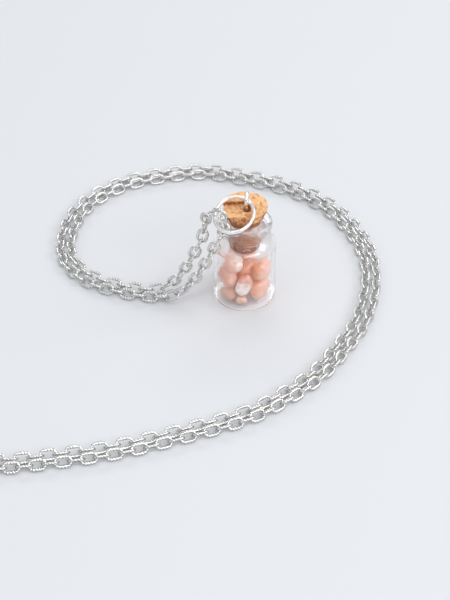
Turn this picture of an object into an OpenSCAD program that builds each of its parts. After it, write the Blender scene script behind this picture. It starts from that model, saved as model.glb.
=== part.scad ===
// Bottle pendant: a corked glass vial of stone chips on a long cable chain.
// The vial stands with the middle of its foot at the origin, +Z up, the viewer on the -Y side.
// The doubled chain hangs from the jump ring and lies round the vial on the same surface.

/* [Bottle] */
// Outer diameter of the glass body
body_d = 15; // [14:0.5:17]
// Height of the straight wall, where the shoulder begins
wall_top = 13.5; // [12:0.5:15]
// Rise of the shoulder from the wall to the neck
shoulder_rise = 5.1; // [4.5:0.1:6]
// Outer diameter of the neck
neck_d = 10; // [9.6:0.1:11]
// Length of the neck between the shoulder and the lip
neck_len = 1.2; // [1:0.1:2]
// Outer diameter of the lip
lip_d = 13; // [12:0.1:13.4]
// Height of the lip
lip_h = 2.5; // [2:0.1:3]
// Diameter of the mouth and of the neck's bore
mouth_d = 7.4; // [7:0.1:7.6]
// Thickness of the glass wall
glass_t = 0.9; // [0.8:0.1:1.2]
// Thickness of the glass floor
floor_t = 1; // [0.8:0.1:1.4]
// Rounding of the foot's outer edge
heel_r = 0.8; // [0.5:0.1:1]

/* [Cork] */
// Gap between the cork and the bore of the neck
cork_gap = 0.1; // [0.1:0.05:0.15]
// Depth that the cork reaches below the rim
cork_depth = 8; // [7:0.1:8.4]
// Height of the cork above the rim
cork_rise = 4.2; // [4:0.1:5]
// Diameter of the cork's top
cork_top_d = 10.6; // [10:0.1:11]
// Diameter of the cork's lower end
cork_foot_d = 6.8; // [6.4:0.1:7]
// Depth of the break that lowers the front left part of the top
break_depth = 1.35; // [1.1:0.05:1.4]
// Width of the crumbled hollow round the eye's shank
crumb_d = 2.2; // [1.8:0.1:2.6]

/* [Screw eye] */
// Thickness of the eye's wire and shank
eye_wire = 0.8; // [0.7:0.05:0.9]
// Outer diameter of the eye's loop
eye_d = 3.6; // [3.5:0.05:3.8]
// Length of the shank below the loop
shank_len = 7; // [5:0.1:8]
// Gap between the shank and its hole in the cork
shank_gap = 0.1; // [0.1:0.05:0.15]

/* [Jump ring] */
// Diameter of the ring's wire
ring_wire = 0.8; // [0.7:0.05:0.85]
// Diameter of the ring, to the middle of its wire
ring_d = 9.4; // [9.2:0.1:9.6]

/* [Chain] */
// Length of a link over its wire
link_l = 4.13; // [4.12:0.01:4.2]
// Width of a link over its wire
link_w = 3; // [2.9:0.05:3.05]
// Diameter of a link's wire
link_wire = 0.6; // [0.5:0.02:0.62]
// Slack between one link and the next
link_gap = 0.16; // [0.14:0.01:0.2]
// Distance between the two strands where they lie side by side
strand_gap = 2.6; // [2.6:0.05:2.8]

/* [Clasp] */
// Diameter of the end rings' wire
end_wire = 0.6; // [0.5:0.05:0.65]
// Outer diameter of the end rings
end_d = 3.6; // [3.6:0.05:3.9]
// Outer diameter of the clasp's round body
clasp_d = 5.4; // [5:0.1:6]
// Thickness of the clasp's round body
clasp_t = 0.9; // [0.8:0.05:0.95]
// Slack between the clasp and an end ring
clasp_gap = 0.32; // [0.3:0.01:0.36]
// Outer diameter of the clasp's own eye
clasp_eye_d = 2.9; // [2.8:0.1:3.2]
// Thickness of the clasp's own eye
clasp_eye_t = 0.6; // [0.5:0.05:0.65]

/* [Stones] */
// Rounding of the stone chips' edges, as a share of half their least size
stone_round = 0.7; // [0.5:0.05:0.8]

/* [Hidden] */
$fn = 48;

// Bottle heights and radii
body_r = body_d/2;
neck_r = neck_d/2;
lip_r = lip_d/2;
mouth_r = mouth_d/2;
neck_z = wall_top + shoulder_rise;
lip_z = neck_z + neck_len;
rim_z = lip_z + lip_h;
lip_round = lip_h*0.45;
inner_r = body_r - glass_t;
inner_heel = 1.4*heel_r;
bulge = 1.9;

// Cork heights
cork_z = rim_z - cork_depth;
cork_top = rim_z + cork_rise;
break_z = cork_top - break_depth;
cork_neck_r = mouth_r - cork_gap;

// The eye stands near the middle of the cork, its loop's lower wire just above the break
eye_x = 0.5;
eye_turn = -13;
eye_r = (eye_d - eye_wire)/2;
eye_z = break_z + 1.05 + eye_r + eye_wire/2;

// The jump ring leans down to the front left, from the eye's hole over the cork's edge
ring_r = ring_d/2;
ring_lean = 236.3;
ring_tilt = 26.8;
ring_swing = -9.4;
ring_play = 0.23;
ring_bear = 180 + ring_swing;

// Chain sizes
pitch = link_l - 2*link_wire - link_gap;
link_r = (link_w - link_wire)/2;
link_half = (link_l - link_w)/2;
rest_roll = 45;
chain_z = link_r*sin(rest_roll) + link_wire/2 + 0.02;

// Middle line of the two strands on the surface, from the vial outwards (x, y)
lane = [[-23.3, -1.6], [-28.5, -0.4], [-37.7, 3.9], [-43.7, 12.7], [-43.8, 24.7], [-39.8, 35], [-31.8, 42.7],
        [-22.1, 46.6], [-10.7, 48.6], [-0.7, 46.3], [11, 41.9], [20.2, 35], [26.3, 26.3], [30.4, 14.9],
        [30.7, 2.1], [27.5, -11.4], [22.3, -21.4], [16.4, -30.3], [8.6, -37.8], [0.3, -43.7], [-12, -48.8],
        [-28.4, -54.4], [-44.6, -57.6], [-51.5, -58.6]];
// Height of the eye that the hanging strands' points are given for
hung_from = 28;
// The strand that hangs outside the ring, from the surface up (x, y, z)
rise = [[-20.8, -0.2, 1.38], [-18.1, -0.8, 3.1], [-15.4, -1.6, 6.6], [-13.1, -2.3, 11.3], [-11.1, -2.7, 16],
        [-9.7, -3.1, 20.2], [-9.2, -2.8, 23.7], [-9.4, -3.5, 25.6]];
// The place over the ring's wire where the chain turns (x, y, z)
crest = [-5.2, -4.2, 27.7];
// The strand that hangs inside the ring, from the wire down (x, y, z)
fall = [[-5.2, -4.66, 25.9], [-4.5, -4.7, 23.3], [-5.9, -5.9, 21], [-7.6, -5.4, 17], [-9.7, -4.8, 12],
        [-12.1, -4.2, 7.2], [-15.2, -3.8, 3.4], [-18.9, -3.5, 1.45]];
// The way of the inner strand past the lane's end and round to the clasp (x, y)
turn = [[-65.2, -63.9], [-69.2, -63.9], [-71.3, -60.7], [-70.2, -56.9], [-66.7, -55.1], [-61.5, -55.8],
        [-56.5, -57]];
// The last place of the outer strand (x, y)
outer_end = [-56.2, -61];

// Points on a smooth curve through p, with n steps between each two
function spline(p, n) = [
    for (i = [0 : len(p) - 2], k = [0 : n - 1])
        let (a = p[max(i - 1, 0)], b = p[i], c = p[i + 1], d = p[min(i + 2, len(p) - 1)], t = k/n)
        0.5*(2*b + (c - a)*t + (2*a - 5*b + 4*c - d)*t*t + (3*b - a - 3*c + d)*t*t*t),
    p[len(p) - 1]];
function unit(v) = v/norm(v);
function reversed(p) = [for (i = [len(p) - 1 : -1 : 0]) p[i]];
function at_rest(p) = [p[0], p[1], chain_z];
// The lane's points moved to its right-hand side by s
function beside(p, s) = [for (i = [0 : len(p) - 1])
    let (d = unit(p[min(i + 1, len(p) - 1)] - p[max(i - 1, 0)])) at_rest(p[i] + s*[d.y, -d.x])];

// Points of the hanging strands, raised or lowered with the eye
function hung(p) = [for (q = p) [q.x, q.y, q.z*eye_z/hung_from]];

inner_way = concat([for (p = turn) at_rest(p)], reversed(beside(lane, strand_gap/2)), hung(rise));
way_points = concat(inner_way, hung([crest]), hung(fall), beside(lane, -strand_gap/2), [at_rest(outer_end)]);
steps = 10;
way = spline(way_points, steps);
// Length along the way at each of its points
run = [for (i = 0, s = 0; i < len(way);
            i = i + 1, s = i < len(way) ? s + norm(way[i] - way[i - 1]) : s) s];
way_x = [for (i = [0 : len(way) - 1]) [run[i], way[i].x]];
way_y = [for (i = [0 : len(way) - 1]) [run[i], way[i].y]];
way_z = [for (i = [0 : len(way) - 1]) [run[i], way[i].z]];
function way_at(s) = [lookup(s, way_x), lookup(s, way_y), lookup(s, way_z)];

// Links are counted from the one over the ring's wire, the inner strand's below zero
crest_run = run[len(inner_way)*steps];
inner_count = floor(crest_run/pitch - 0.5);
outer_count = floor((run[len(run) - 1] - crest_run)/pitch - 0.5);
function joint(k) = way_at(crest_run + (k - 0.5)*pitch);

// A link's widthways direction: level where the chain lies, and set by a compass bearing where it hangs
hang_turn = 23;
hang_low = 12;
hang_high = 22;
function bearing(z) = hang_turn*max(0, min(1, (z - hang_low)/(hang_high - hang_low)));
function widthways(d, z) =
    let (h = [sin(bearing(z)), cos(bearing(z)), 0],
         w = abs(d.z) > 0.3 ? unit(h - (h*d)*d) : unit(cross(d, [0, 0, 1])))
    z > chain_z + 0.05 && w.y < 0 ? -w : w;
// The roll goes from 45 degrees either way, where the chain lies, to flat and upright where it hangs
function lift(z) = max(0, min(1, abs(z - chain_z)/4));
function roll(k, z) = (k % 2 == 0 ? 1 : -1)*rest_roll + (90 - rest_roll)*lift(z);

module torus(r, wire) {
    rotate_extrude() translate([r, 0]) circle(d = wire);
}

// Sets its children with X along d and Y widthways, turned by a roll about d
module along(p, d, w, a) {
    u = cross(d, w);
    multmatrix([[d.x, w.x, u.x, p.x], [d.y, w.y, u.y, p.y], [d.z, w.z, u.z, p.z], [0, 0, 0, 1]])
        rotate([a, 0, 0]) children();
}

// A link in the XY plane, long along X: two half rings and two straight sides
module link() {
    for (e = [0, 180]) {
        rotate([0, 0, e]) translate([link_half, 0, 0]) rotate([0, 0, -90])
            rotate_extrude(angle = 180) translate([link_r, 0]) circle(d = link_wire);
        rotate([e, 0, 0]) translate([-link_half, link_r, 0]) rotate([0, 90, 0])
            cylinder(d = link_wire, h = 2*link_half);
    }
}

module links(first, last) {
    for (k = [first : last]) {
        a = joint(k);
        b = joint(k + 1);
        c = (a + b)/2;
        d = unit(b - a);
        along(c, d, widthways(d, c.z), roll(k, c.z)) link();
    }
}

// Glass wall radius at a share t of the shoulder, from the wall's radius to the neck's
function shoulder(ra, rb, z0, z1) = [for (i = [0 : 12]) let (t = i/12)
    [rb + (ra - rb)*(0.5 + 0.5*cos(180*pow(t, bulge))), z0 + (z1 - z0)*t]];
function arc(c, r, a0, a1, n) = [for (i = [0 : n]) let (a = a0 + (a1 - a0)*i/n) c + r*[cos(a), sin(a)]];

module bottle_profile() {
    rim_r = lip_round/2;
    polygon(concat(
        [[0, 0]],
        arc([body_r - heel_r, heel_r], heel_r, -90, 0, 6),
        shoulder(body_r, neck_r, wall_top, neck_z),
        [[neck_r, lip_z]],
        arc([lip_r - lip_round, lip_z + lip_round], lip_round, -90, 0, 6),
        arc([lip_r - lip_round, rim_z - lip_round], lip_round, 0, 90, 6),
        arc([mouth_r + rim_r, rim_z - rim_r], rim_r, 90, 180, 4),
        reversed(shoulder(inner_r, mouth_r, wall_top - glass_t/2, neck_z - glass_t/2)),
        arc([inner_r - inner_heel, floor_t + inner_heel], inner_heel, 0, -90, 5),
        [[0, floor_t]]));
}

module bottle() {
    color([0.93, 0.96, 0.97, 0.35]) rotate_extrude($fn = 96) bottle_profile();
}

// Side of the cork above the rim: shares of the swell and of the rise
CORK_SIDE = [[0.36, 0.22], [0.66, 0.45], [0.9, 0.68], [1, 0.92], [0.96, 1]];

// The cork swells out of the neck, and its top is broken in front
module cork() {
    swell = cork_top_d/2 - cork_neck_r;
    chip = cork_top_d;
    foot_edge = 0.25;
    flat_drop = 1.3;
    nick = 1.6;
    color([0.85, 0.6, 0.36]) difference() {
        rotate_extrude($fn = 64) polygon(concat(
            [[0, cork_z], [cork_foot_d/2 - foot_edge, cork_z], [cork_foot_d/2, cork_z + foot_edge]],
            [[cork_neck_r, lip_z], [cork_neck_r, rim_z]],
            [for (s = CORK_SIDE) [cork_neck_r + s[0]*swell, rim_z + s[1]*cork_rise]],
            [[0, cork_top]]));
        // lower front left part of the top
        translate([-chip, -chip, break_z]) rotate([0, 0, 4]) cube([chip + 1.9, chip + 0.6, break_depth*2]);
        // sloping front right part
        translate([1.6, 0.4, cork_top]) rotate([32, 0, -18]) translate([0, -chip, 0])
            cube([chip, chip, chip/2]);
        // flat broken off the front edge, and a nick in the back edge
        translate([-chip/18, -chip/3, break_z - flat_drop]) rotate([-24, 0, 6])
            translate([-chip/2, -chip/2, 0]) cube([chip, chip/2, chip/2]);
        translate([nick, chip/2, cork_top]) rotate([0, 45, 8]) cube(nick, center = true);
        // crumbled hollow and the shank's hole
        translate([eye_x, 0, break_z]) sphere(d = crumb_d, $fn = 24);
        translate([eye_x, 0, eye_z - eye_r - shank_len - 0.3]) cylinder(r = eye_wire/2 + shank_gap, h = chip);
    }
}

// A ring of wire on a shank that goes down into the cork
module screw_eye() {
    tip = 1.2;
    color([0.8, 0.8, 0.8]) translate([eye_x, 0, eye_z]) rotate([0, 0, eye_turn]) {
        rotate([0, 90, 0]) torus(eye_r, eye_wire);
        translate([0, 0, -eye_r - shank_len + tip]) cylinder(d = eye_wire, h = shank_len - tip);
        translate([0, 0, -eye_r - shank_len]) cylinder(d1 = eye_wire/4, d2 = eye_wire, h = tip);
    }
}

// The ring passes through the eye's hole, low and to the left of the hole's middle
module jump_ring() {
    hold = ring_r*[cos(ring_bear), sin(ring_bear), 0];
    color([0.85, 0.85, 0.85])
        translate([eye_x, 0, eye_z] + ring_play*[cos(ring_lean), sin(ring_lean), 0])
        rotate([0, 0, ring_lean]) rotate([0, ring_tilt, 0]) translate(-hold) torus(ring_r, ring_wire);
}

module chain_inner() {
    color([0.78, 0.78, 0.78]) links(-inner_count, 0);
}

module chain_outer() {
    color([0.82, 0.82, 0.82]) links(1, outer_count);
}

// The chain's two ends, with the end rings in line between them
inner_last = joint(-inner_count);
outer_last = joint(outer_count + 1);
end_r = (end_d - end_wire)/2;
end_in = end_d/2 - end_wire;
end_slack = 0.21;
close_dir = unit(inner_last - outer_last);
close_side = cross([0, 0, 1], close_dir);
end_z = end_r*sin(rest_roll) + end_wire/2 + 0.02;
function lifted(p, z) = [p.x, p.y, z];
inner_ring_at = lifted(inner_last - (end_in - end_slack)*close_dir, end_z);
outer_ring_at = lifted(outer_last + (end_in - link_gap/2)*close_dir, end_z);

module end_ring_inner() {
    color([0.8, 0.8, 0.8])
        along(inner_ring_at, close_dir, close_side, roll(-inner_count - 1, chain_z)) torus(end_r, end_wire);
}

module end_ring_outer() {
    color([0.8, 0.8, 0.8])
        along(outer_ring_at, close_dir, close_side, roll(outer_count + 1, chain_z)) torus(end_r, end_wire);
}

// Round body held by the outer end ring, own eye held by the inner one, and a neck between
module clasp() {
    body_at = end_in + clasp_d/2 - clasp_t - clasp_gap;
    eye_at = norm(inner_ring_at - outer_ring_at) - (end_in + clasp_eye_d/2 - clasp_eye_t - clasp_gap);
    neck_from = body_at + clasp_d/2 - clasp_t/2;
    neck_to = eye_at - clasp_eye_d/2 + clasp_eye_t/2;
    color([0.8, 0.8, 0.8]) along(outer_ring_at, close_dir, close_side, 0) {
        translate([body_at, 0, 0]) torus((clasp_d - clasp_t)/2, clasp_t);
        translate([eye_at, 0, 0]) torus((clasp_eye_d - clasp_eye_t)/2, clasp_eye_t);
        translate([neck_from, 0, 0]) rotate([0, 90, 0]) cylinder(d = clasp_t, h = neck_to - neck_from);
    }
}

// Stone chips. Columns: bearing of the middle, its reach as a share of the hollow's radius and its height as a
// share of the hollow's depth below the cork; height of the chip as a share of that depth, its width and
// thickness as shares of that radius; lean sideways, tip outwards, shape number
hollow = cork_z - floor_t;
STONES = [
    [229, 0.58, 0.81, 0.33, 0.86, 0.64, -40, -55, 3],
    [208, 0.68, 0.45, 0.38, 0.91, 0.56, -34, 5, 5],
    [219, 0.75, 0.12, 0.20, 0.77, 0.44, 10, 11, 8],
    [262, 0.80, 0.09, 0.14, 0.44, 0.34, 7, -25, 11],
    [269, 0.76, 0.41, 0.46, 0.56, 0.42, -18, -1, 14],
    [318, 0.72, 0.21, 0.40, 0.90, 0.49, -10, -4, 17],
    [329, 0.70, 0.59, 0.35, 0.95, 0.49, -8, -6, 20],
    [286, 0.20, 0.54, 0.37, 0.57, 0.65, -39, -60, 23],
    [135, 0.61, 0.26, 0.50, 1.00, 0.66, 9, 2, 26],
    [38, 0.58, 0.27, 0.54, 0.99, 0.66, 21, -21, 29],
    [101, 0.43, 0.72, 0.58, 1.00, 0.66, -29, -44, 32],
    [262, 0.17, 0.19, 0.37, 0.74, 0.66, -29, -58, 35]];
STONE_TINTS = [[0.95, 0.8, 0.76], [0.93, 0.7, 0.66], [0.82, 0.62, 0.56], [0.85, 0.72, 0.62],
               [0.97, 0.9, 0.88], [0.95, 0.7, 0.62]];

// A tumbled chip: the hull of balls at the middles of a block's faces and, pushed in, at its eight corners
module chip(tall, wide, thick, seed) {
    size = [thick, wide, tall]/2;
    ball = stone_round*min(tall, wide, thick)/2;
    push = rands(0.55, 0.9, 24, seed);
    hull() {
        for (i = [0 : 7]) {
            away = [i % 2 == 0 ? 1 : -1, floor(i/2) % 2 == 0 ? 1 : -1, i < 4 ? 1 : -1];
            translate([for (a = [0 : 2]) away[a]*push[3*i + a]*(size[a] - ball)]) sphere(ball, $fn = 14);
        }
        for (a = [0 : 2], e = [-1, 1])
            translate([for (b = [0 : 2]) a == b ? e*(size[a] - ball) : 0]) sphere(ball, $fn = 14);
    }
}

module stone(i) {
    s = STONES[i];
    color(STONE_TINTS[i % len(STONE_TINTS)])
        rotate([0, 0, s[0]]) translate([s[1]*inner_r, 0, floor_t + s[2]*hollow])
        rotate([s[6], s[7], 0]) chip(s[3]*hollow, s[4]*inner_r, s[5]*inner_r, s[8]);
}

bottle();
cork();
screw_eye();
jump_ring();
chain_inner();
chain_outer();
end_ring_inner();
end_ring_outer();
clasp();
stone(0);  // stone_01
stone(1);  // stone_02
stone(2);  // stone_03
stone(3);  // stone_04
stone(4);  // stone_05
stone(5);  // stone_06
stone(6);  // stone_07
stone(7);  // stone_08
stone(8);  // stone_09
stone(9);  // stone_10
stone(10);  // stone_11
stone(11);  // stone_12
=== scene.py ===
"""Looks of the bottle pendant: a corked glass vial of pink stone chips on a long silver chain, seen from the
front and above on a pale surface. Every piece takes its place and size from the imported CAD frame."""

import math

import bmesh
import bpy
import numpy as np
from mathutils import Matrix, Vector, noise


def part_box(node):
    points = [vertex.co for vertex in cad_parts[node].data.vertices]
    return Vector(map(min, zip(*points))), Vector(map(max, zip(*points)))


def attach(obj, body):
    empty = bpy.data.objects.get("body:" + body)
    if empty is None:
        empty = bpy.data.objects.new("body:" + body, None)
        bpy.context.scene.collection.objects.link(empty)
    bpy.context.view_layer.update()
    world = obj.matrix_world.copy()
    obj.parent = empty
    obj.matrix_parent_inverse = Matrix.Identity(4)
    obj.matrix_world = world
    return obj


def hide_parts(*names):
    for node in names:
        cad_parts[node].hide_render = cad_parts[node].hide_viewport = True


MM = 0.001
BODY = "root"

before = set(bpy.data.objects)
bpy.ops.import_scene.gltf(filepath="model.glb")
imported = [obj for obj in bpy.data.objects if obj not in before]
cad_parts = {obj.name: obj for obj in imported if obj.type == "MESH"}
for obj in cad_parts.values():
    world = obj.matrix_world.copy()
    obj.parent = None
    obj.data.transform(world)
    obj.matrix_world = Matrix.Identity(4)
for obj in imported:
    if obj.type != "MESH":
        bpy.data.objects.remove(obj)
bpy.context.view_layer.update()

# Camera: looks along +Y and down, as the photograph does
CAMERA_AT = Vector((-4.64, -300.8, 250.05)) * MM
CAMERA_PITCH = 40
CAMERA_LENS = 97.1
CAMERA_SENSOR = 36
CAMERA_NEAR = 0.01

# Colours, as linear red, green and blue
WHITE = (1.0, 1.0, 1.0)
COOL_WHITE = (0.96, 0.98, 1.0)
FLOOR_COLOUR = (0.685, 0.695, 0.716)
SILVER = (0.97, 0.965, 0.95)
# Painted shade: the chain wire's colour down in its grooves
SILVER_GROOVE_SHADE = (0.24, 0.23, 0.20)
CORK_LIGHT = (0.88, 0.55, 0.29)
CORK_MID = (0.81, 0.40, 0.17)
# Dark cork: the colour of its dark grains, and painted shade on its sides and under the break
CORK_DARK_GRAIN_AND_SHADE = (0.32, 0.09, 0.025)
CORK_CREVICE = (0.22, 0.07, 0.025)
CORK_NECK = (0.31, 0.10, 0.05)
CORK_FOOT = (0.17, 0.015, 0.0)
WHITE_PINK = (0.66, 0.58, 0.55)
PALE_PINK = (0.575, 0.325, 0.26)
PINK = (0.52, 0.235, 0.18)
ORANGE_PINK = (0.56, 0.265, 0.17)
ORANGE = (0.46, 0.15, 0.06)
BROWN_PINK = (0.45, 0.225, 0.175)
TAN = (0.49, 0.30, 0.22)


# ---------- making things ----------

# Corners nearer than this are one corner, and edges shorter than this go; in millimetres
JOIN_GAP = 0.002
TINY_EDGE = 0.001


def new_object(name, mesh):
    obj = bpy.data.objects.new(name, mesh)
    bpy.context.scene.collection.objects.link(obj)
    return obj


def mesh_of(name, points, faces):
    mesh = bpy.data.meshes.new(name)
    mesh.from_pydata([tuple(p) for p in points], [], faces)
    mesh.validate()
    mesh.update()
    return mesh


def smooth(mesh, sharp_angle=math.radians(180)):
    """Shades the mesh smoothly, but for edges that turn by more than the angle."""
    bm = bmesh.new()
    bm.from_mesh(mesh)
    bmesh.ops.recalc_face_normals(bm, faces=bm.faces)
    for face in bm.faces:
        face.smooth = True
    for edge in bm.edges:
        edge.smooth = len(edge.link_faces) == 2 and edge.calc_face_angle(0) < sharp_angle
    bm.to_mesh(mesh)
    bm.free()


def merged_copy(node, name):
    """A new mesh object with a CAD node's shape and its corners joined up."""
    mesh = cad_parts[node].data.copy()
    mesh.materials.clear()
    bm = bmesh.new()
    bm.from_mesh(mesh)
    bmesh.ops.remove_doubles(bm, verts=bm.verts, dist=JOIN_GAP * MM)
    bmesh.ops.dissolve_degenerate(bm, dist=TINY_EDGE * MM, edges=bm.edges)
    bm.to_mesh(mesh)
    bm.free()
    mesh.name = name
    return new_object(name, mesh)


def baked(obj):
    """Applies the object's modifiers to a plain mesh and removes them."""
    view = bpy.context.evaluated_depsgraph_get()
    mesh = bpy.data.meshes.new_from_object(obj.evaluated_get(view))
    obj.modifiers.clear()
    obj.data = mesh
    return obj


def remeshed(obj, size):
    """Gives the object an even mesh of small faces."""
    change = obj.modifiers.new("voxels", "REMESH")
    change.mode = "VOXEL"
    change.voxel_size = size
    change.use_smooth_shade = True
    return baked(obj)


def place(obj, node, material):
    """Puts the piece in a CAD node's stead, with its material."""
    obj.data.materials.clear()
    obj.data.materials.append(material)
    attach(obj, BODY)
    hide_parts(node)
    return obj


def share(x):
    """The number, kept between 0 and 1."""
    return max(0.0, min(1.0, x))


def blend_colours(a, b, t):
    t = share(t)
    return tuple(x + (y - x) * t for x, y in zip(a, b))


def crumple(at, octaves):
    """Smooth noise with finer and finer detail, about -1 to 1."""
    return noise.fractal(at, 1.0, 2.0, octaves)


def tint(mesh, layer_name, colours):
    """Keeps a colour for each corner point of the mesh in a layer that a material reads."""
    layer = mesh.color_attributes.new(layer_name, "FLOAT_COLOR", "POINT")
    flat = np.ones((len(mesh.vertices), 4), dtype=np.float32)
    flat[:, :3] = np.array(colours, dtype=np.float32)
    layer.data.foreach_set("color", flat.ravel())


# ---------- materials ----------

# Depths of the bumps, in millimetres, and how far red, green and blue light go inside a chip
METAL_BUMP = 0.05
SKIN_BUMP = 0.1
GLASS_WAVE = 0.4
REDDENING = (1.0, 0.55, 0.42)


def blank_material(name):
    material = bpy.data.materials.new(name)
    material.use_nodes = True
    return material, material.node_tree, material.node_tree.nodes["Principled BSDF"]


def set_inputs(node, values):
    for key, value in values.items():
        node.inputs[key].default_value = value
    return node


def add_node(tree, kind, values=None, **settings):
    node = tree.nodes.new(kind)
    for key, value in settings.items():
        setattr(node, key, value)
    return set_inputs(node, values or {})


def add_noise_bump(tree, shader, scale, detail, strength, depth):
    """Roughens the shader's surface with noise on the object's own coordinates, in millimetres."""
    where = add_node(tree, "ShaderNodeTexCoord")
    in_mm = add_node(tree, "ShaderNodeMapping", {"Scale": (1 / MM,) * 3})
    waves = add_node(tree, "ShaderNodeTexNoise", {"Scale": scale, "Detail": detail})
    bump = add_node(tree, "ShaderNodeBump", {"Strength": strength, "Distance": depth * MM})
    tree.links.new(where.outputs["Object"], in_mm.inputs["Vector"])
    tree.links.new(in_mm.outputs["Vector"], waves.inputs["Vector"])
    tree.links.new(waves.outputs["Fac"], bump.inputs["Height"])
    tree.links.new(bump.outputs["Normal"], shader.inputs["Normal"])


def metal_material(name, colour, roughness, grain, grain_scale, layer=None):
    """Metal of one colour, or of the colours in a layer of the mesh."""
    material, tree, shader = blank_material(name)
    set_inputs(shader, {"Base Color": (*colour, 1), "Metallic": 1.0, "Roughness": roughness})
    add_noise_bump(tree, shader, scale=grain_scale, detail=3.0, strength=grain, depth=METAL_BUMP)
    if layer:
        own = add_node(tree, "ShaderNodeAttribute", attribute_name=layer)
        tree.links.new(own.outputs["Color"], shader.inputs["Base Color"])
    return material


def glass_material(name, ior, alpha, coat_ior):
    """Clear glass: ior bends what is behind it, and the coat gives the reflections of real glass."""
    material, tree, shader = blank_material(name)
    set_inputs(shader, {"Base Color": (*WHITE, 1), "Roughness": 0.0, "IOR": ior, "Transmission Weight": 1.0,
                        "Alpha": alpha, "Coat Weight": 1.0, "Coat IOR": coat_ior, "Coat Roughness": 0.02})
    add_noise_bump(tree, shader, scale=0.16, detail=1.0, strength=0.35, depth=GLASS_WAVE)
    return material


def tinted_material(name, layer, roughness, subsurface, radius, coat, bump, bump_scale, painted_glow):
    """A material whose colour comes from the mesh's own colour layer; the light it gives off in that colour is
    painted light that lifts its shade.
    """
    material, tree, shader = blank_material(name)
    set_inputs(shader, {"Roughness": roughness, "Subsurface Weight": subsurface, "Subsurface Radius": REDDENING,
                        "Subsurface Scale": radius * MM, "Coat Weight": coat, "Coat Roughness": 0.12,
                        "Emission Strength": painted_glow})
    colour = add_node(tree, "ShaderNodeAttribute", attribute_name=layer)
    tree.links.new(colour.outputs["Color"], shader.inputs["Base Color"])
    tree.links.new(colour.outputs["Color"], shader.inputs["Emission Color"])
    add_noise_bump(tree, shader, scale=bump_scale, detail=4.0, strength=bump, depth=SKIN_BUMP)
    return material


def paper_material():
    material, tree, shader = blank_material("pale paper")
    set_inputs(shader, {"Base Color": (*FLOOR_COLOUR, 1), "Roughness": 0.75, "Specular IOR Level": 0.2})
    return material


# ---------- glass ----------

# The vial, in millimetres
BODY_R = 7.5
WALL_TOP = 13.5
SHOULDER_RISE = 5.1
NECK_R = 5.0
NECK_LEN = 1.2
LIP_R = 6.5
LIP_H = 2.5
MOUTH_R = 3.7
GLASS_T = 0.9
FLOOR_T = 1.0
HEEL_R = 0.8
BENDING_FROM = WALL_TOP + 1.5

# Its curves: shares of the lip's height and of the heel, and the shoulder's power
LIP_ROUND = 0.45
INNER_HEEL = 1.4
BENDING_HEEL = 0.7
SHOULDER_BULGE = 1.9
SHOULDER_STEPS = 40
ROUND_STEPS = 12
RIM_STEPS = 10
LATHE_STEPS = 144


def arc(centre, radius, start, end, steps=ROUND_STEPS):
    angles = [math.radians(start + (end - start) * i / steps) for i in range(steps + 1)]
    return [(centre[0] + radius * math.cos(a), centre[1] + radius * math.sin(a)) for a in angles]


def shoulder(wide, narrow, low, high):
    """An S curve from the wall to the neck, fuller below than above."""
    steps = [i / SHOULDER_STEPS for i in range(SHOULDER_STEPS + 1)]
    return [(narrow + (wide - narrow) * (0.5 + 0.5 * math.cos(math.pi * t ** SHOULDER_BULGE)), low + (high - low) * t)
            for t in steps]


def glass_profile():
    """The wall's outline as radius and height: up the outside from the foot, over the lip and down the inside."""
    neck_z = WALL_TOP + SHOULDER_RISE
    lip_z = neck_z + NECK_LEN
    rim_z = lip_z + LIP_H
    lip_round = LIP_ROUND * LIP_H
    rim_round = lip_round / 2
    inner_heel = INNER_HEEL * HEEL_R
    inner_r = BODY_R - GLASS_T
    return ([(0, 0)]
            + arc((BODY_R - HEEL_R, HEEL_R), HEEL_R, -90, 0)
            + shoulder(BODY_R, NECK_R, WALL_TOP, neck_z)
            + [(NECK_R, lip_z)]
            + arc((LIP_R - lip_round, lip_z + lip_round), lip_round, -90, 0)
            + arc((LIP_R - lip_round, rim_z - lip_round), lip_round, 0, 90)
            + arc((MOUTH_R + rim_round, rim_z - rim_round), rim_round, 90, 180, RIM_STEPS)
            + shoulder(inner_r, MOUTH_R, WALL_TOP - GLASS_T / 2, neck_z - GLASS_T / 2)[::-1]
            + arc((inner_r - inner_heel, FLOOR_T + inner_heel), inner_heel, 0, -90)
            + [(0, FLOOR_T)])


def make_glass():
    """Turns the profile round the vial's axis."""
    profile = glass_profile()
    last = len(profile) - 1
    at = lambda ring, k: 1 + (ring - 1) * LATHE_STEPS + k % LATHE_STEPS
    points, faces = [(0, 0, profile[0][1] * MM)], []
    for radius, z in profile[1:last]:
        for k in range(LATHE_STEPS):
            a = 2 * math.pi * k / LATHE_STEPS
            points.append((radius * math.cos(a) * MM, radius * math.sin(a) * MM, z * MM))
    points.append((0, 0, profile[last][1] * MM))
    for k in range(LATHE_STEPS):
        faces.append((0, at(1, k + 1), at(1, k)))
        faces.append((len(points) - 1, at(last - 1, k), at(last - 1, k + 1)))
        for ring in range(1, last - 1):
            faces.append((at(ring, k), at(ring, k + 1), at(ring + 1, k + 1), at(ring + 1, k)))
    mesh = mesh_of("vial glass", points, faces)
    bm = bmesh.new()
    bm.from_mesh(mesh)
    bmesh.ops.remove_doubles(bm, verts=bm.verts, dist=TINY_EDGE * MM)
    bm.to_mesh(mesh)
    bm.free()
    smooth(mesh)
    return new_object("vial_glass", mesh)


def bend_light_in(mesh, material):
    """Gives the shoulder, the neck, the lip and the heel, where glass visibly bends light, their own material."""
    mesh.materials.append(material)
    for face in mesh.polygons:
        at = face.center / MM
        on_heel = at.z < HEEL_R * BENDING_HEEL and math.hypot(at.x, at.y) > BODY_R - HEEL_R
        if at.z > BENDING_FROM or on_heel:
            face.material_index = 1


# ---------- cork ----------

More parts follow.
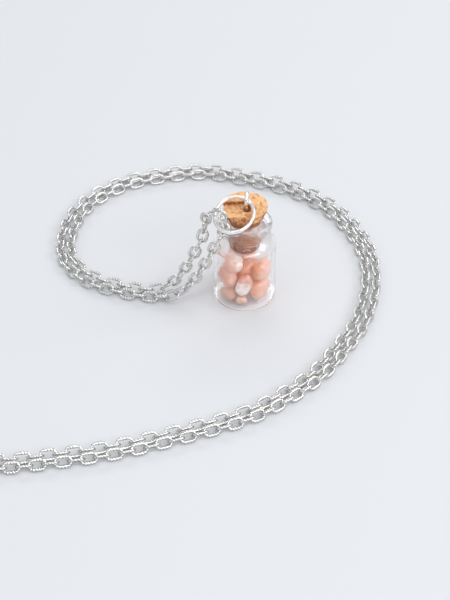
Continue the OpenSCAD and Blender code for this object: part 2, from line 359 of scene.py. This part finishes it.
# Shape, in millimetres
CORK_VOXEL = 0.15
GRAIN_SIZE = 0.8
SEAM_WIDTH = 0.25
CORK_PIT = 0.12
PIT_IN_NECK = 0.35
BREAK_DEPTH = 1.35
# How far right the painted shade under the break on the top reaches
BREAK_SHADE_RIGHT = 2.4
SPECK_SPACING = 1.15
SPECK_SIZE = 0.21
SPECK_RIM = 0.3
FOOT_HEIGHT = 2.4
MOUTH_BELOW_RIM = 0.3
MOUTH_FADE = 0.8
# How far below the break the painted shade under it starts, and over how much it fades in
BREAK_SHADE_BELOW = 0.3
BREAK_SHADE_FADE = 0.4

# Patterns: crumbs for each millimetre, where the specks fall, what spreads the grains' own numbers, which grains are
# deep and which are dark, and the slope from which a face counts as top and gets none of the sides' painted shade
CRUMBS_PER_MM = 2.6
SPECK_SHIFT = Vector((5, 2, 9))
GRAIN_SPREAD = 7.3
DEEP_GRAIN = 0.6
DARK_GRAIN = 0.86
TOP_SLOPE = 1 / 1.4

# How much the crumbs and the grains add to the pits and to the mottling
PIT_BY_CRUMB = 0.5
PIT_BY_GRAIN = 0.5
MOTTLE_BY_CRUMB = 1.5
MOTTLE_BY_GRAIN = 0.9
MID_BY_CRUMB = 0.5
MID_BY_GRAIN = 0.75

# Shares of the darker colours: plain, and what full mottling adds; on the sides the darker colour is painted shade
SIDE_SHADE_SHARE, SIDE_SHADE_MOTTLE = 0.5, 0.75
NECK_SHARE, NECK_MOTTLE = 0.55, 0.6
FOOT_SHARE, FOOT_MOTTLE = 0.6, 0.8
FOOT_GAIN = 0.7
GRAIN_SHARE = 0.4
SPECK_SHARE = 0.8
SEAM_SHARE = 0.35


def cork_colour(grain, crumb, seam, side, speck, in_air, foot):
    """The cork's colour at a point, from how far each of the named things holds there; side is painted shade."""
    mottle = share(0.5 + MOTTLE_BY_CRUMB * crumb + MOTTLE_BY_GRAIN * (grain - 0.5))
    colour = blend_colours(CORK_LIGHT, CORK_MID, MID_BY_GRAIN * grain + MID_BY_CRUMB * crumb)
    # Painted shade: faces turned away from the light above, and the front under the break, are darker
    colour = blend_colours(colour, CORK_DARK_GRAIN_AND_SHADE, side * (SIDE_SHADE_SHARE + SIDE_SHADE_MOTTLE * mottle))
    if grain > DARK_GRAIN:
        colour = blend_colours(colour, CORK_DARK_GRAIN_AND_SHADE, GRAIN_SHARE)
    colour = blend_colours(colour, CORK_CREVICE, SPECK_SHARE * speck)
    colour = blend_colours(colour, CORK_NECK, (NECK_SHARE + NECK_MOTTLE * mottle) * (1 - in_air))
    colour = blend_colours(colour, CORK_FOOT, min(1.0, FOOT_GAIN * foot) * (FOOT_SHARE + FOOT_MOTTLE * mottle))
    return blend_colours(colour, CORK_CREVICE, SEAM_SHARE * seam ** 2)


def make_cork():
    """The cork, with pits between its grains, specks, painted shade on its sides and under the break on its top, and
    darker still down in the neck.
    """
    cork = remeshed(merged_copy("cork", "cork_stopper"), CORK_VOXEL * MM)
    mesh = cork.data
    rim_z = WALL_TOP + SHOULDER_RISE + NECK_LEN + LIP_H
    low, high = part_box("cork")
    foot_z, break_z = low[2] / MM, high[2] / MM - BREAK_DEPTH
    normals = [v.normal.copy() for v in mesh.vertices]
    colours = []
    for vert, normal in zip(mesh.vertices, normals):
        p = vert.co / MM
        near, grains = noise.voronoi(p / GRAIN_SIZE)
        seam = 1 - min(1.0, (near[1] - near[0]) / SEAM_WIDTH)
        crumb = crumple(p * CRUMBS_PER_MM, 3)
        grain = abs(noise.cell(grains[0] * GRAIN_SPREAD))
        in_air = share((p.z - rim_z + MOUTH_BELOW_RIM) / MOUTH_FADE)
        depth = CORK_PIT * (PIT_IN_NECK + (1 - PIT_IN_NECK) * in_air)
        pit = depth * (seam + PIT_BY_CRUMB * max(0.0, crumb) + PIT_BY_GRAIN * max(0.0, grain - DEEP_GRAIN))
        vert.co = (p - normal * pit) * MM
        # Painted shade on the sides, by how steep the face is, and on the front below the break
        side = 1 - share(normal.z / TOP_SLOPE)
        under_break_shade = share((break_z - BREAK_SHADE_BELOW - p.z) / BREAK_SHADE_FADE) * share(BREAK_SHADE_RIGHT - p.x)
        nearest = noise.voronoi(p / SPECK_SPACING + SPECK_SHIFT)[0][0]
        speck = (SPECK_SIZE - nearest) / (SPECK_RIM * SPECK_SIZE)
        foot = foot_z + FOOT_HEIGHT - p.z
        colours.append(cork_colour(grain, crumb, seam, max(side, under_break_shade), speck, in_air, foot))
    mesh.update()
    tint(mesh, "cork_tint_and_shade", colours)
    # The cork gives off a little light of its own colour: painted light
    place(cork, "cork", tinted_material("agglomerate cork", "cork_tint_and_shade", roughness=0.85, subsurface=0.05, radius=0.4,
                                        coat=0.0, bump=0.5, bump_scale=3.2, painted_glow=0.08))


# ---------- metal ----------

RING_SHARP = math.radians(40)

# The links' wire: steps along and round it, the grooves' number, turns and depth as a share, and its swelling
LINK_STEPS = 56
LINK_SIDES = 8
GROOVES = 2
GROOVE_TURNS = 14
GROOVE_DEPTH = 0.14
WIRE_SWELL = 1.06
SIDE_SWELL = 0.42
SWELL_POWER = 4
# How the painted groove shade gives way to silver: the share of silver at the grooves' middle depth, and its swing
# with them
SHINE_LEVEL = 0.85
SHINE_SWING = 0.95


def make_plain_metal(node, name, material):
    piece = merged_copy(node, name)
    smooth(piece.data, RING_SHARP)
    return place(piece, node, material)


def loose_parts(node):
    """The node's separate solids, as arrays of their triangles' corners."""
    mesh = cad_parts[node].data
    mesh.calc_loop_triangles()
    points = np.empty(len(mesh.vertices) * 3)
    mesh.vertices.foreach_get("co", points)
    points = points.reshape(-1, 3)
    triangles = np.empty(len(mesh.loop_triangles) * 3, dtype=np.int64)
    mesh.loop_triangles.foreach_get("vertices", triangles)
    triangles = triangles.reshape(-1, 3)
    keys = np.round(points / (JOIN_GAP * MM)).astype(np.int64)
    joined = np.unique(keys, axis=0, return_inverse=True)[1].ravel()
    corners = joined[triangles]
    label = np.arange(joined.max() + 1)
    while True:
        lowest = label[corners].min(axis=1)
        before = label.copy()
        for side in range(3):
            np.minimum.at(label, corners[:, side], lowest)
        label = label[label]
        if np.array_equal(before, label):
            break
    owner = label[corners[:, 0]]
    return [points[triangles[owner == part]] for part in np.unique(owner)]


def link_place(corners):
    """Where a link is: its middle, its three directions (long, wide, thin) and its sizes along them."""
    sides = np.cross(corners[:, 1] - corners[:, 0], corners[:, 2] - corners[:, 0])
    area = np.linalg.norm(sides, axis=1) / 2
    middles = corners.mean(axis=1)
    centre = (middles * area[:, None]).sum(axis=0) / area.sum()
    away = middles - centre
    spread = (away * area[:, None]).T @ away
    ways = np.linalg.eigh(spread)[1][:, ::-1]
    ways[:, 2] = np.cross(ways[:, 0], ways[:, 1])
    reach = (corners.reshape(-1, 3) - centre) @ ways
    return centre, ways, reach.max(axis=0) - reach.min(axis=0)


def link_mesh(length, width, wire):
    """One link in the XY plane, long along X, of grooved wire that is broad at the sides, with painted shade down in
    its grooves.
    """
    wire *= WIRE_SWELL
    bend = (width - wire) / 2
    straight = (length - width) / 2
    whole = 2 * math.pi * bend + 4 * straight
    half_turn = math.pi * bend
    thin = Vector((0, 0, 1))
    points, faces, colours = [], [], []
    for i in range(LINK_STEPS):
        run = whole * i / LINK_STEPS
        if run < half_turn:
            a, middle = run / bend - math.pi / 2, straight
        elif run < half_turn + 2 * straight:
            a, middle = math.pi / 2, straight - (run - half_turn)
        elif run < 2 * half_turn + 2 * straight:
            a, middle = (run - half_turn - 2 * straight) / bend + math.pi / 2, -straight
        else:
            a, middle = -math.pi / 2, run - 2 * half_turn - 3 * straight
        out = Vector((math.cos(a), math.sin(a), 0))
        broad = wire / 2 * (1 + SIDE_SWELL * math.sin(a) ** SWELL_POWER)
        centre = Vector((middle, 0, 0)) + (bend + wire / 2 - broad) * out
        for k in range(LINK_SIDES):
            b = 2 * math.pi * k / LINK_SIDES
            lobes = math.cos(GROOVES * b + 2 * math.pi * GROOVE_TURNS * i / LINK_STEPS)
            depth = 1 - GROOVE_DEPTH + GROOVE_DEPTH * lobes
            points.append(centre + depth * (broad * math.cos(b) * out + wire / 2 * math.sin(b) * thin))
            # Painted shade: the wire's colour goes dark down in its grooves
            colours.append(blend_colours(SILVER_GROOVE_SHADE, SILVER, SHINE_LEVEL + SHINE_SWING * lobes))
    for i in range(LINK_STEPS):
        j = (i + 1) % LINK_STEPS
        for k in range(LINK_SIDES):
            m = (k + 1) % LINK_SIDES
            faces.append((i * LINK_SIDES + k, j * LINK_SIDES + k, j * LINK_SIDES + m, i * LINK_SIDES + m))
    mesh = mesh_of("link", points, faces)
    tint(mesh, "wire_tint_and_groove_shade", colours)
    smooth(mesh)
    return mesh


def strand_tree(link, material):
    """Geometry nodes that set the link on every point, turned by the point's own rotation."""
    tree = bpy.data.node_groups.new("strand of links", "GeometryNodeTree")
    tree.interface.new_socket("Points", in_out="INPUT", socket_type="NodeSocketGeometry")
    tree.interface.new_socket("Link scale", in_out="INPUT", socket_type="NodeSocketFloat").default_value = 1.0
    tree.interface.new_socket("Strand", in_out="OUTPUT", socket_type="NodeSocketGeometry")
    start = tree.nodes.new("NodeGroupInput")
    end = tree.nodes.new("NodeGroupOutput")
    shape = add_node(tree, "GeometryNodeObjectInfo", {"Object": link})
    turn = add_node(tree, "GeometryNodeInputNamedAttribute", {"Name": "turn"}, data_type="FLOAT_VECTOR")
    angles = tree.nodes.new("FunctionNodeEulerToRotation")
    to_points = tree.nodes.new("GeometryNodeMeshToPoints")
    instances = tree.nodes.new("GeometryNodeInstanceOnPoints")
    solid = tree.nodes.new("GeometryNodeRealizeInstances")
    dress = add_node(tree, "GeometryNodeSetMaterial", {"Material": material})
    for a, b in ((start.outputs["Points"], to_points.inputs["Mesh"]),
                 (to_points.outputs["Points"], instances.inputs["Points"]),
                 (shape.outputs["Geometry"], instances.inputs["Instance"]),
                 (turn.outputs["Attribute"], angles.inputs["Euler"]),
                 (angles.outputs["Rotation"], instances.inputs["Rotation"]),
                 (start.outputs["Link scale"], instances.inputs["Scale"]),
                 (instances.outputs["Instances"], solid.inputs["Geometry"]),
                 (solid.outputs["Geometry"], dress.inputs["Geometry"]),
                 (dress.outputs["Geometry"], end.inputs["Strand"])):
        tree.links.new(a, b)
    return tree


def make_strand(node, name, material):
    """A strand of the chain: one grooved link on the place of each of the node's solids."""
    places = [link_place(part) for part in loose_parts(node)]
    length, width, wire = map(float, np.median([sizes for centre, ways, sizes in places], axis=0))
    link = new_object(name + "_link", link_mesh(length, width, wire))
    strand = new_object(name, mesh_of(name, [centre for centre, ways, sizes in places], []))
    turns = strand.data.attributes.new("turn", "FLOAT_VECTOR", "POINT")
    for i, (centre, ways, sizes) in enumerate(places):
        turns.data[i].vector = Matrix(ways.tolist()).to_euler("XYZ")
    grow = strand.modifiers.new("links", "NODES")
    grow.node_group = strand_tree(link, material)
    baked(strand)
    bpy.data.objects.remove(link)
    return place(strand, node, material)


# ---------- stones ----------

# Skin, in millimetres, and patterns for each millimetre
STONE_VOXEL = 0.17
SKIN_DEPTH = 0.05
SKIN_LEVEL = 0.4
LUMPS_PER_MM = 0.9
CLOUDS_PER_MM = 0.45
CLOUD_SHIFT = Vector((3, 1, 7))
CLOUD_SHARE = 0.35
BORDER_SHARP = 1.1
BORDER_ROUGH = 0.7

# Main colour, second colour, and where the second colour lies: its direction and how far it reaches
STONE_LOOKS = {
    "stone_01": (PALE_PINK, WHITE_PINK, (0.8, 0, 0.5), 0.2),
    "stone_02": (PINK, PALE_PINK, (0.6, -0.4, 0.7), 0.35),
    "stone_03": (BROWN_PINK, TAN, (0, 0, 1), 0.4),
    "stone_04": (TAN, PALE_PINK, (1, 0, 0), 0.4),
    "stone_05": (WHITE_PINK, PINK, (0.3, 0.3, 1), 0.36),
    "stone_06": (PALE_PINK, ORANGE_PINK, (-1, 0, 0.8), 0.3),
    "stone_07": (PALE_PINK, ORANGE, (-1, 0, 0.2), 0.36),
    "stone_08": (ORANGE, ORANGE_PINK, (1, 0, 0), 0.4),
    "stone_09": (PINK, BROWN_PINK, (0, 0, -1), 0.5),
    "stone_10": (ORANGE_PINK, PALE_PINK, (1, 0, 0), 0.5),
    "stone_11": (PALE_PINK, ORANGE_PINK, (-1, 0, 0), 0.5),
    "stone_12": (BROWN_PINK, ORANGE, (0, 0, 1), 0.5)}


def make_stone(node, looks, material):
    """A stone chip with a slightly lumpy skin, two colours and white clouds."""
    main, second, way, reach = looks
    stone = remeshed(merged_copy(node, node.replace("stone", "chip")), STONE_VOXEL * MM)
    mesh = stone.data
    low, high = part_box(node)
    middle = (Vector(low) + Vector(high)) / 2 / MM
    half = (Vector(high) - Vector(low)).length / 4 / MM
    way = Vector(way).normalized()
    normals = [v.normal.copy() for v in mesh.vertices]
    colours = []
    for vert, normal in zip(mesh.vertices, normals):
        p = vert.co / MM
        rough = crumple(p * LUMPS_PER_MM, 4)
        vert.co = (p + normal * SKIN_DEPTH * (rough - SKIN_LEVEL)) * MM
        along = (p - middle).dot(way) / half
        second_share = 0.5 + BORDER_SHARP * (along - 1 + 2 * reach) + BORDER_ROUGH * rough
        cloud = crumple(p * CLOUDS_PER_MM + CLOUD_SHIFT, 3)
        colour = blend_colours(main, second, second_share)
        colours.append(blend_colours(colour, WHITE_PINK, CLOUD_SHARE * max(0.0, cloud)))
    mesh.update()
    tint(mesh, "stone_tint", colours)
    place(stone, node, material)


# ---------- the scene ----------

PAPER_SIDE = 3.0
PAPER_LEVEL = -0.03

# The studio's brightness by the height of the direction, from level (0) to straight up (1)
STUDIO_STOPS = ((0.0, 0.86), (0.12, 0.46), (0.36, 1.04), (1.0, 1.1))
STUDIO_TINT = (0.98, 1.0, 1.03)
STUDIO_STRENGTH = 0.645

# Softboxes aimed at the vial's foot: place and size in metres, power in watts, colour
LIGHTS = {
    "key softbox": ((0.6, 0.05, 0.6), (0.5, 0.5), 1.9, WHITE),
    "back softbox": ((-0.1, 0.75, 0.65), (1.0, 0.35), 2.2, WHITE),
    "top strip": ((0.1, -0.3, 0.85), (0.4, 0.06), 0.8, WHITE),
    "front fill": ((-0.5, -0.5, 0.6), (0.6, 0.6), 0.4, COOL_WHITE),
    "window strip": ((0.32, -0.55, 0.5), (0.8, 0.2), 1.5, WHITE)}


def make_camera():
    data = bpy.data.cameras.new("camera")
    data.lens = CAMERA_LENS
    data.sensor_width = CAMERA_SENSOR
    data.clip_start = CAMERA_NEAR
    camera = new_object("camera", data)
    camera.location = CAMERA_AT
    camera.rotation_euler = (math.radians(90 - CAMERA_PITCH), 0, 0)
    bpy.context.scene.camera = camera


def make_paper():
    level = PAPER_LEVEL * MM
    corners = [(x * PAPER_SIDE, y * PAPER_SIDE, level) for x, y in ((-1, -1), (1, -1), (1, 1), (-1, 1))]
    paper = new_object("floor", mesh_of("floor", corners, [(0, 1, 2, 3)]))
    paper.data.materials.append(paper_material())


def make_studio():
    """Soft light from all round, darker just above the horizon so that bright metal has something to show."""
    bpy.context.scene.view_settings.view_transform = "Standard"
    world = bpy.data.worlds.new("studio")
    world.use_nodes = True
    tree = world.node_tree
    tree.nodes.clear()
    where = add_node(tree, "ShaderNodeTexCoord")
    split = add_node(tree, "ShaderNodeSeparateXYZ")
    ramp = add_node(tree, "ShaderNodeValToRGB")
    while len(ramp.color_ramp.elements) < len(STUDIO_STOPS):
        ramp.color_ramp.elements.new(0.5)
    for element, (height, grey) in zip(ramp.color_ramp.elements, STUDIO_STOPS):
        element.position = height
        element.color = (*(grey * part for part in STUDIO_TINT), 1)
    back = add_node(tree, "ShaderNodeBackground", {"Strength": STUDIO_STRENGTH})
    out = add_node(tree, "ShaderNodeOutputWorld")
    tree.links.new(where.outputs["Generated"], split.inputs["Vector"])
    tree.links.new(split.outputs["Z"], ramp.inputs["Fac"])
    tree.links.new(ramp.outputs["Color"], back.inputs["Color"])
    tree.links.new(back.outputs["Background"], out.inputs["Surface"])
    bpy.context.scene.world = world


def make_light(name, at, size, power, colour):
    data = bpy.data.lights.new(name, "AREA")
    data.shape = "RECTANGLE"
    data.size, data.size_y = size
    data.energy = power
    data.color = colour
    light = new_object(name, data)
    light.location = at
    light.rotation_euler = (-Vector(at)).to_track_quat("-Z", "Y").to_euler()


make_camera()
make_paper()
make_studio()
for name, (at, size, power, colour) in LIGHTS.items():
    make_light(name, at, size, power, colour)

chain_silver = metal_material("textured silver wire", SILVER, roughness=0.14, grain=0.4, grain_scale=4.0,
                              layer="wire_tint_and_groove_shade")
plain_silver = metal_material("polished silver wire", SILVER, roughness=0.12, grain=0.15, grain_scale=2.0)
make_strand("chain_inner", "inner_strand", chain_silver)
make_strand("chain_outer", "outer_strand", chain_silver)
for node, name in (("screw_eye", "eye_screw"), ("jump_ring", "bail_ring"), ("end_ring_inner", "end_ring_a"),
                   ("end_ring_outer", "end_ring_b"), ("clasp", "ring_clasp")):
    make_plain_metal(node, name, plain_silver)
make_cork()
# The chips give off light of their own colour: painted light that lifts their shade
stone_skin = tinted_material("tumbled quartz", "stone_tint", roughness=0.36, subsurface=0.35, radius=1.2,
                             coat=0.2, bump=0.25, bump_scale=1.6, painted_glow=0.28)
for node, looks in STONE_LOOKS.items():
    make_stone(node, looks, stone_skin)
glass = place(make_glass(), "bottle", glass_material("thin clear glass", ior=1.04, alpha=0.42, coat_ior=1.9))
bend_light_in(glass.data, glass_material("thick clear glass", ior=1.42, alpha=0.8, coat_ior=1.5))
# Real glass lets the light through to the stones and the paper inside
glass.visible_shadow = False
